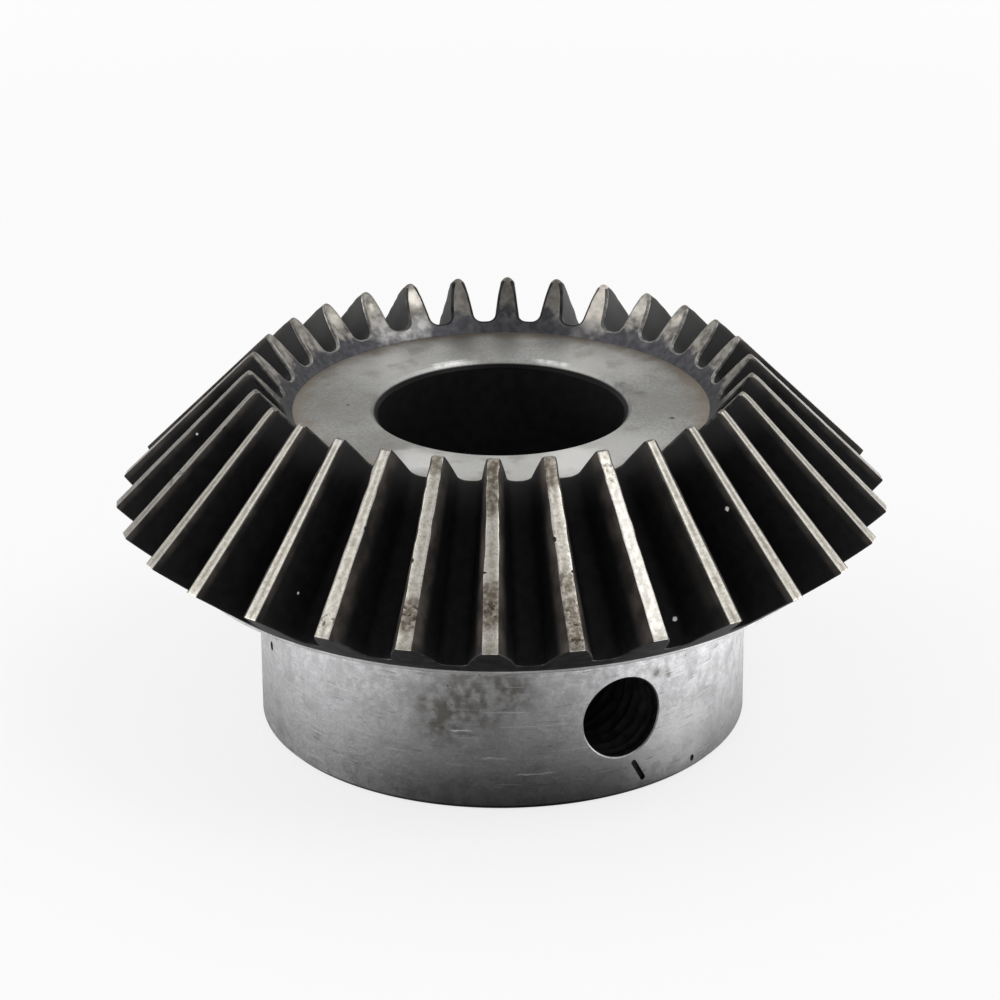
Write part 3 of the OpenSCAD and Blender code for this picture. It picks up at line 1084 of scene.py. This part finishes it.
def front_steel():
    """Flat front face, satin with a fine speckle, cleaner and duller patches, smudges, a brown rim and
    painted highlights.
    """
    skin = Shader("front steel", 1, 0.42)
    speckle = skin.clouds(0.22, 4, 0.32, 0.68)
    skin.colour = skin.mix(speckle, (0.36, 0.357, 0.345), (0.47, 0.467, 0.45))
    dull = skin.marks(face_point, DULL_PATCHES, 1.6)
    skin.coat(dull, (0.25, 0.247, 0.23), 0.6)
    pale_patch = skin.marks(face_point, CLEAN_PATCHES, 1.6)
    skin.coat(pale_patch, (0.66, 0.655, 0.635), 0.75)
    patches = skin.clouds(2.6, 6, 0.52, 0.68, 0, 0.45)
    skin.coat(patches, (0.28, 0.255, 0.215))
    smudges = skin.marks(face_point, FACE_SMUDGES, 1.4)
    smudges = skin.times(smudges, skin.clouds(1.3, 5, 0.34, 0.66, 0.15, 0.6))
    skin.coat(smudges, (0.12, 0.115, 0.11))
    dark_spots = skin.marks(face_point, FACE_SPOTS, 0.6)
    skin.coat(dark_spots, (0.07, 0.065, 0.06), 0.85)
    ragged = skin.math("ADD", skin.radius, skin.clouds(1.5, 5, 0.3, 0.7, -0.6, 0.6))
    edge = skin.ramp(ragged, FRONT_RADIUS - 2.2, FRONT_RADIUS + 0.3, 0, 0.75)
    skin.coat(edge, (0.26, 0.205, 0.145))
    # Painted highlights near the front teeth
    bright = skin.marks(face_point, FACE_HIGHLIGHTS, 1.2)
    skin.coat(bright, (0.95, 0.94, 0.92), 0.62)
    glints = skin.band(skin.facing(), -0.905, 0.035, 0.035)
    glints = skin.times(glints, skin.band(skin.radius, BORE_RADIUS + 0.75, 0.12, 0.3))
    glints = skin.times(glints, skin.clouds(0.6, 3, 0.3, 0.6, 0.35, 1))
    skin.coat(glints, (0.95, 0.945, 0.93))
    mouth = skin.ramp(skin.radius, BORE_RADIUS + 0.25, BORE_RADIUS + 0.4, 1, 0)
    skin.coat(mouth, (0.015, 0.015, 0.015))
    roughness = skin.ramp(speckle, 0, 1, 0.46, 0.4)
    relief = skin.math("ADD", skin.rings(skin.radius, 0.13), speckle)
    return skin.finish(roughness, relief, 0.002)


def dark_steel(name, low, high):
    """Dark oiled steel inside the bore and the tapped hole."""
    skin = Shader(name, 0, 0.55, 0.12)
    grain = skin.clouds(0.9, 4, 0.35, 0.65)
    skin.colour = skin.mix(grain, (low, low, low), (high, high, high * 1.05))
    return skin.finish(None, grain, 0.004)


def gear_materials():
    """The gear's materials, in the order of its surfaces."""
    return [
        hub_steel(), flank_black(), land_steel(), heel_steel(), toe_steel(), edge_steel(), front_steel(),
        dark_steel("bore steel", 0.008, 0.011), dark_steel("hole steel", 0.007, 0.017),
    ]


# Floor, light and camera

def view_direction(azimuth, elevation):
    """Unit vector at an angle to the right of the camera, and a height above the floor, both in degrees."""
    turn = CAMERA_AZIMUTH + math.radians(azimuth)
    lift = math.radians(elevation)
    return Vector((math.sin(turn) * math.cos(lift), -math.cos(turn) * math.cos(lift), math.sin(lift)))


def build_floor():
    """Pale floor that keeps the gear's shadow: white to the camera, and in reflections dark in front of
    the gear and bright at its sides."""
    mesh = bpy.data.meshes.new("floor")
    corners = [(-1, -1), (1, -1), (1, 1), (-1, 1)]
    mesh.from_pydata([(x * FLOOR_REACH, y * FLOOR_REACH, 0) for x, y in corners], [], [(0, 1, 2, 3)])
    material = bpy.data.materials.new("floor")
    mesh.materials.append(material)
    tree = Nodes(material)
    nodes = tree.nodes
    nodes.remove(nodes["Principled BSDF"])
    rays = nodes.new("ShaderNodeLightPath").outputs
    place = nodes.new("ShaderNodeTexCoord").outputs["Object"]

    away = tree.vector("DISTANCE", place, view_direction(DARK_AZIMUTH, 0) * HUB_RADIUS * MM)
    front = tree.times(tree.ramp(away, DARK_FLOOR * MM, 0.0), rays["Is Glossy Ray"])
    paper = nodes.new("ShaderNodeBsdfDiffuse")
    tree.feed(paper.inputs["Color"], tree.mix(front, (FLOOR_COLOUR,) * 3, (FLOOR_FRONT,) * 3))

    near, far = (distance * MM for distance in WHITE_FLOOR)
    lift = tree.ramp(tree.vector("LENGTH", place), near, far, FLOOR_LIFT, 1.0)
    white = nodes.new("ShaderNodeMixShader")
    tree.feed(white.inputs["Fac"], tree.times(rays["Is Camera Ray"], lift))
    tree.feed(white.inputs[1], paper.outputs[0])
    tree.feed(white.inputs[2], nodes.new("ShaderNodeEmission").outputs[0])

    aside = tree.vector("DOT_PRODUCT", place, view_direction(90, 0))
    near, far = (distance * MM for distance in BRIGHT_FLOOR)
    right = tree.ramp(aside, near, far, 0.0, RIGHT_GLOW)
    left = tree.ramp(aside, -near, -far, 0.0, LEFT_GLOW)
    glow = nodes.new("ShaderNodeEmission")
    tree.feed(glow.inputs["Strength"], tree.times(tree.math("ADD", right, left), rays["Is Glossy Ray"]))
    total = nodes.new("ShaderNodeAddShader")
    tree.feed(total.inputs[0], white.outputs[0])
    tree.feed(total.inputs[1], glow.outputs[0])
    tree.feed(nodes["Material Output"].inputs["Surface"], total.outputs[0])
    floor = add_object("floor", mesh)


def build_world():
    """White behind the gear; in its reflections, bright all round but dark on the camera's side."""
    world = bpy.data.worlds.new("studio")
    bpy.context.scene.world = world
    tree = Nodes(world)
    rays = tree.nodes.new("ShaderNodeLightPath").outputs
    direction = tree.nodes.new("ShaderNodeTexCoord").outputs["Generated"]
    facing = tree.vector("DOT_PRODUCT", direction, view_direction(DARK_AZIMUTH, 0))
    room = tree.ramp(facing, 0.0, DARK_ROOM, ROOM_SIDES - ROOM_LIGHT, ROOM_FRONT - ROOM_LIGHT)
    mirrored = tree.math("MAXIMUM", rays["Is Glossy Ray"], rays["Is Transmission Ray"])
    strength = tree.math("ADD", tree.times(mirrored, room), ROOM_LIGHT)
    background = tree.nodes["Background"]
    tree.feed(background.inputs["Strength"], tree.math("MAXIMUM", strength, rays["Is Camera Ray"]))
    tree.feed(background.inputs["Color"], (1, 1, 1))


def build_lamps():
    for name, (azimuth, elevation, distance, size, power) in SOFTBOXES.items():
        light = bpy.data.lights.new(name, "AREA")
        light.shape = "DISK"
        light.size = size
        light.energy = power
        lamp = add_object(name, light)
        back = view_direction(azimuth, elevation)
        lamp.location = back * distance + Vector((0, 0, HEEL_HEIGHT * MM))
        lamp.rotation_euler = back.to_track_quat("Z", "Y").to_euler()


def build_camera():
    right = view_direction(90, 0)
    back = view_direction(0, math.degrees(CAMERA_ELEVATION))
    level = Matrix((right, back.cross(right), back)).transposed()
    turn = (level @ Matrix.Rotation(CAMERA_ROLL, 3, "Z")).to_4x4()
    aside, height = CAMERA_AIM
    place = (right * aside + Vector((0, 0, height)) + back * CAMERA_DISTANCE) * MM
    camera = add_object("camera", bpy.data.cameras.new("camera"))
    camera.matrix_world = Matrix.Translation(place) @ turn
    camera.data.sensor_width = SENSOR_WIDTH
    camera.data.lens = CAMERA_LENS
    camera.data.clip_start = CLIP_START
    bpy.context.scene.camera = camera


build_camera()
build_world()
build_floor()
build_lamps()

gear = build_gear(gear_materials())
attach(gear, "root")
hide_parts("bevel_gear")

bpy.context.scene.view_settings.view_transform = "Standard"
